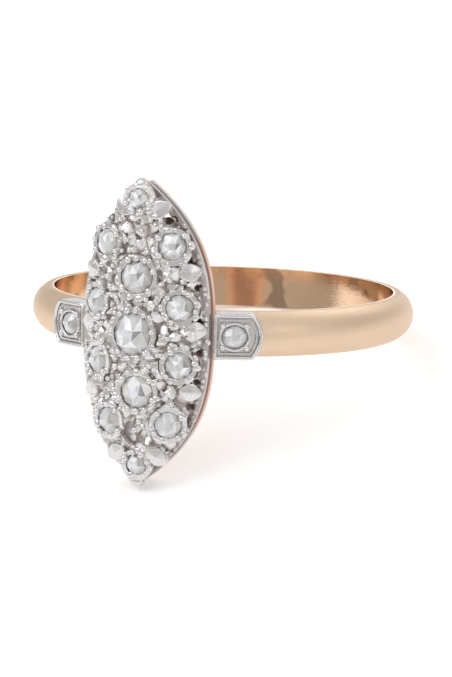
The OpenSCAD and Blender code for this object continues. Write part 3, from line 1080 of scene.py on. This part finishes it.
def make_rail_beads():
    """Pairs of tiny beads and uneven lumps along the rail, and the beads at each tip."""
    bm = bmesh.new()
    chance = random.Random(RAIL_SEED)
    for side in (-1, 1):
        for middle in RAIL_BEAD_SHARES:
            for step in (-0.5, 0.5):
                share = middle + step * RAIL_BEAD_PITCH / HALF_LENGTH
                add_bead(bm, on_rail(side, share, RAIL_BEAD_INSET), RAIL_BEAD_D)
        for k in range(RAIL_LUMPS):
            stray = chance.uniform(-RAIL_LUMP_STRAY, RAIL_LUMP_STRAY)
            share = (k + stray) / RAIL_LUMPS * (2 * RAIL_LUMP_END) - RAIL_LUMP_END
            place = on_rail(side, share, chance.uniform(*RAIL_LUMP_INSET))
            turn = turned(chance.uniform(0, 180), "Z")
            lump = turn @ stretched(chance.uniform(*RAIL_LUMP_STRETCH), 1, 1)
            d = chance.uniform(*RAIL_LUMP_D)
            add_bead(bm, place @ lump, d, tall=chance.uniform(*RAIL_LUMP_TALL))
    y = HALF_LENGTH - TIP_BEAD_D / 4
    z = DOME_TOP - y * y / (2 * DOME_LONG_R)
    for end in (-1, 1):
        place = HEAD @ shift(0, end * y, z) @ stretched(TIP_BEAD_STRETCH, 1, 1)
        add_bead(bm, place, TIP_BEAD_D, round_steps=3)
        for side in (-1, 1):
            place = on_dome(side * TIP_SIDE_ACROSS, end * (y - TIP_SIDE_IN))
            add_bead(bm, place, TIP_SIDE_D, round_steps=3)
    finished(bm, "rail_beads", HEAD_SILVER)


def outline_places(inset):
    """Places round the head's outline, set in by inset."""
    end = (1 - inset / HALF_WIDTH) ** (1 / OUTLINE_POWER)
    turns = [math.pi * (k / LEDGE_STEPS - 0.5) for k in range(LEDGE_STEPS + 1)]
    shares = [end * math.sin(turn) for turn in turns]
    right = [(half_width(share) - inset, share * HALF_LENGTH) for share in shares]
    return right + [(-x, y) for x, y in reversed(right[1:-1])]


def make_ledge():
    """The thin gold ledge inside the gold rail, under the openings."""
    bm = bmesh.new()
    loops = []
    for inset, z in LEDGE_SECTION:
        places = outline_places(inset)
        made = bmesh.ops.create_circle(bm, segments=len(places), radius=1)
        for v, (x, y) in zip(made["verts"], places):
            v.co = HEAD @ Vector((x, y, z))
        loops.append(edges_at(made["verts"]))
    join_round(bm, loops)
    finished(bm, "gallery_ledge", GOLD_FINISH, smooth=False)


def make_head_stones():
    for seed, ((name, _, _, w, l, turn, _), place) in enumerate(head_places()):
        cut_stone(name, place @ shift(z=SEAT_FLOOR), w, l, turn, seed)


# The shoulders' pieces


def on_plate_face(side, u, v):
    """The place of a point on a shoulder plate's top, u round the ring and v along the finger."""
    angle = side * (PLATE_ANGLE + math.degrees(math.asin(u / PLATE_R)))
    return RING @ turned(angle, "Z") @ Vector((0, -PLATE_R, v))


def plate_border(side, inset):
    """Frames along a shoulder plate's outline, set in by inset, whose Z points along it."""
    end_r = PLATE_END_R - inset
    middle = PLATE_END - PLATE_END_R
    v = PLATE_HALF_WIDTH - inset
    corner = math.asin(v / end_r)
    start = PLATE_START + inset
    length = middle + end_r * math.cos(corner) - start
    half = PLATE_END_STEPS // 2
    arc = [corner * (k / half - 1) for k in range(PLATE_END_STEPS + 1)]
    bend = [(middle + end_r * math.cos(a), end_r * math.sin(a)) for a in arc]
    lower = [(start + length * k / PLATE_SIDE_STEPS, -v) for k in range(PLATE_SIDE_STEPS)]
    upper = [(u, -w) for u, w in reversed(lower)]
    half = PLATE_BACK_STEPS // 2
    back = [(start, v * (1 - k / half)) for k in range(1, PLATE_BACK_STEPS)]
    points = [on_plate_face(side, u, w) for u, w in lower + bend + upper + back]
    for before, here, after in zip(points[-1:] + points, points, points[1:] + points[:1]):
        turn = (after - before).to_track_quat("Z", "Y").to_matrix().to_4x4()
        yield Matrix.Translation(here) @ turn @ Matrix.Scale(MM, 4)


def make_shoulders():
    """Each shoulder's stone, its rim, its border's wires and its four grains."""
    for side, word in ((1, "right"), (-1, "left")):
        place = on_plate(side)
        cut_stone(
            "stone_shoulder_" + word,
            place @ shift(z=-SHOULDER_STONE_SINK),
            SHOULDER_STONE_L,
            SHOULDER_STONE_W,
            SHOULDER_STONE_TURN,
            SHOULDER_SEED + side,
        )
        bm = bmesh.new()
        add_ring(
            bm,
            place @ shift(z=SHOULDER_RIM_LIFT),
            SHOULDER_STONE_L + SHOULDER_RIM_GROW,
            SHOULDER_STONE_W + SHOULDER_RIM_GROW,
            SHOULDER_RIM_WIRE,
        )
        for inset, wire in PLATE_WIRES:
            add_wire(bm, plate_border(side, inset), wire)
        for x in (-1, 1):
            for y in (-1, 1):
                spot = shift(
                    x * SHOULDER_STONE_L * SHOULDER_GRAIN_SHARE,
                    y * SHOULDER_STONE_W * SHOULDER_GRAIN_SHARE,
                    SHOULDER_GRAIN_LIFT,
                )
                add_bead(bm, place @ spot, SHOULDER_GRAIN_D)
        finished(bm, "shoulder_rim_" + word, PLATE_SILVER)


GOLD_FINISH = rose_gold_finish()
HEAD_SILVER = silver_finish("silver_head", head_recess, HEAD_RECESS_STEP, TARNISH_AND_PAINTED_SHADE)
PLATE_SILVER = silver_finish("silver_plate", plate_recess, PLATE_RECESS_STEP, PLATE_SHADE)
STONE_FINISH = stone_finish()

# The solids that keep their shape and show, with their finishes.
SOLID_FINISHES = {
    "shank": GOLD_FINISH,
    "setting": HEAD_SILVER,
    "shoulder_plate_right": PLATE_SILVER,
    "shoulder_plate_left": PLATE_SILVER,
}
for node, finish in SOLID_FINISHES.items():
    frame["nodes"][node].material_slots[0].material = finish

make_rims()
make_grains()
make_petals()
make_leaves()
make_metal_between()
make_small_grains()
make_rail_beads()
make_ledge()
make_head_stones()
make_shoulders()


# The floor, the light and the camera


def make_floor():
    bm = bmesh.new()
    bmesh.ops.create_grid(bm, x_segments=1, y_segments=1, size=FLOOR_REACH)
    mesh = bpy.data.meshes.new("floor")
    bm.to_mesh(mesh)
    bm.free()
    mesh.materials.append(floor_finish())
    floor = bpy.data.objects.new("floor", mesh)
    bpy.context.scene.collection.objects.link(floor)


def make_sky():
    """A soft studio sky, brightest overhead and darker low down."""
    world = bpy.data.worlds.new("studio")
    bpy.context.scene.world = world
    world.use_nodes = True
    tree = world.node_tree
    ground = tree.nodes["Background"]
    place = tree.nodes.new("ShaderNodeTexCoord")
    split = tree.nodes.new("ShaderNodeSeparateXYZ")
    ramp = tree.nodes.new("ShaderNodeValToRGB")
    stops = ((0, SKY_LOW), (SKY_FULL, SKY_HIGH))
    for element, (height, colour) in zip(ramp.color_ramp.elements, stops):
        element.position = height
        element.color = (*colour, 1)
    tree.links.new(place.outputs["Generated"], split.inputs[0])
    tree.links.new(split.outputs["Z"], ramp.inputs[0])
    tree.links.new(ramp.outputs[0], ground.inputs["Color"])
    ground.inputs["Strength"].default_value = SKY_STRENGTH


def make_lamp(name, way, size, power):
    """A square soft light that looks at the ring from a direction."""
    lamp = bpy.data.lights.new(name, "AREA")
    lamp.size = size
    lamp.energy = power
    holder = bpy.data.objects.new(name, lamp)
    way = Vector(way).normalized()
    holder.location = ring_middle + way * LAMP_DISTANCE
    holder.rotation_mode = "QUATERNION"
    holder.rotation_quaternion = way.to_track_quat("Z", "Y")
    bpy.context.scene.collection.objects.link(holder)


def make_camera():
    """The photograph's camera, placed round the standing ring and turned down with it."""
    a = math.radians(CAMERA_AZIMUTH)
    e = math.radians(CAMERA_HEIGHT)
    back = Vector((math.sin(a) * math.cos(e), -math.cos(a) * math.cos(e), math.sin(e)))
    right = Vector((math.cos(a), math.sin(a), 0))
    right = Matrix.Rotation(math.radians(CAMERA_ROLL), 3, back) @ right
    up = back.cross(right)
    turn = RING.to_3x3().normalized() @ Matrix((right, up, back)).transposed()
    camera = bpy.data.cameras.new("camera")
    long_side = max(PHOTO_SIZE)
    camera.sensor_width = SENSOR
    camera.lens = SENSOR * PIXELS_PER_MM * CAMERA_DISTANCE / long_side
    camera.shift_x = (PHOTO_SIZE[0] / 2 - RING_PIXEL[0]) / long_side
    camera.shift_y = (RING_PIXEL[1] - PHOTO_SIZE[1] / 2) / long_side
    camera.clip_start = CAMERA_NEAR
    camera.clip_end = CAMERA_FAR
    holder = bpy.data.objects.new("camera", camera)
    holder.matrix_world = turn.to_4x4()
    holder.location = RING @ (back * CAMERA_DISTANCE)
    bpy.context.scene.collection.objects.link(holder)
    bpy.context.scene.camera = holder


make_floor()
make_sky()
for lamp in LAMPS:
    make_lamp(*lamp)
make_camera()
bpy.context.scene.view_settings.view_transform = "Standard"
